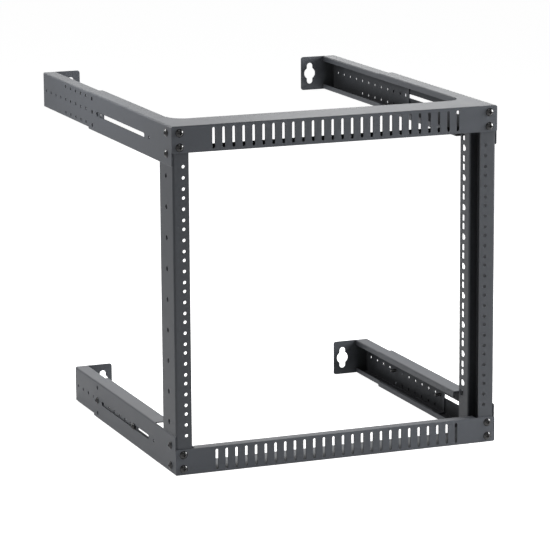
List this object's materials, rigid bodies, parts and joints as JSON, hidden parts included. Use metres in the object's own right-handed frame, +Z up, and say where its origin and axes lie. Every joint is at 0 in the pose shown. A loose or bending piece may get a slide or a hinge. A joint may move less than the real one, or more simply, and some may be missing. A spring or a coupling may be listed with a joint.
{
  "type": "open frame wall rack",
  "caption": "Open frame wall rack with punched posts, slotted cross bars and side arms that slide in channels to set the depth and end in keyholed wall flanges.",
  "frame": {"origin": "middle of the equipment bay, on the front face of the posts, halfway between the two rows of rack holes", "axes": "+X to the right seen from the front, +Y back to the wall, +Z up"},
  "size_m": [0.5076, 0.61, 0.502],
  "materials": {
    "powder_coat": "fine-textured satin charcoal powder coat on folded sheet steel",
    "black_screw": "glossy black plated steel"
  },
  "bodies": {
    "frame": {"top_bar": "powder_coat", "bottom_bar": "powder_coat", "left_post": "powder_coat", "right_post": "powder_coat", "top_left_channel": "powder_coat", "top_left_front_screw_1": "black_screw", "top_left_front_screw_2": "black_screw", "top_left_side_screw_1": "black_screw", "top_left_side_screw_2": "black_screw", "top_right_channel": "powder_coat", "top_right_front_screw_1": "black_screw", "top_right_front_screw_2": "black_screw", "top_right_side_screw_1": "black_screw", "top_right_side_screw_2": "black_screw", "bottom_left_channel": "powder_coat", "bottom_left_front_screw_1": "black_screw", "bottom_left_front_screw_2": "black_screw", "bottom_left_side_screw_1": "black_screw", "bottom_left_side_screw_2": "black_screw", "bottom_left_lock_screw": "black_screw", "bottom_right_channel": "powder_coat", "bottom_right_front_screw_1": "black_screw", "bottom_right_front_screw_2": "black_screw", "bottom_right_side_screw_1": "black_screw", "bottom_right_side_screw_2": "black_screw", "bottom_right_lock_screw": "black_screw"},
    "top_left_arm": {"top_left_arm": "powder_coat"},
    "top_right_arm": {"top_right_arm": "powder_coat"},
    "bottom_left_arm": {"bottom_left_arm": "powder_coat", "bottom_left_slot_screw": "black_screw", "bottom_left_lock_screw_end": "black_screw"},
    "bottom_right_arm": {"bottom_right_arm": "powder_coat", "bottom_right_slot_screw": "black_screw", "bottom_right_lock_screw_end": "black_screw"}
  },
  "joints": [
    {"name": "top_left_arm_slide", "type": "slide", "parent": "frame", "child": "top_left_arm", "axis": [0, 1, 0], "range_m": [-0.2, 0.01]},
    {"name": "top_right_arm_slide", "type": "slide", "parent": "frame", "child": "top_right_arm", "axis": [0, 1, 0], "range_m": [-0.2, 0.01]},
    {"name": "bottom_left_arm_slide", "type": "slide", "parent": "frame", "child": "bottom_left_arm", "axis": [0, 1, 0], "range_m": [-0.0645, 0.1455]},
    {"name": "bottom_right_arm_slide", "type": "slide", "parent": "frame", "child": "bottom_right_arm", "axis": [0, 1, 0], "range_m": [-0.0645, 0.1455]}
  ]
}
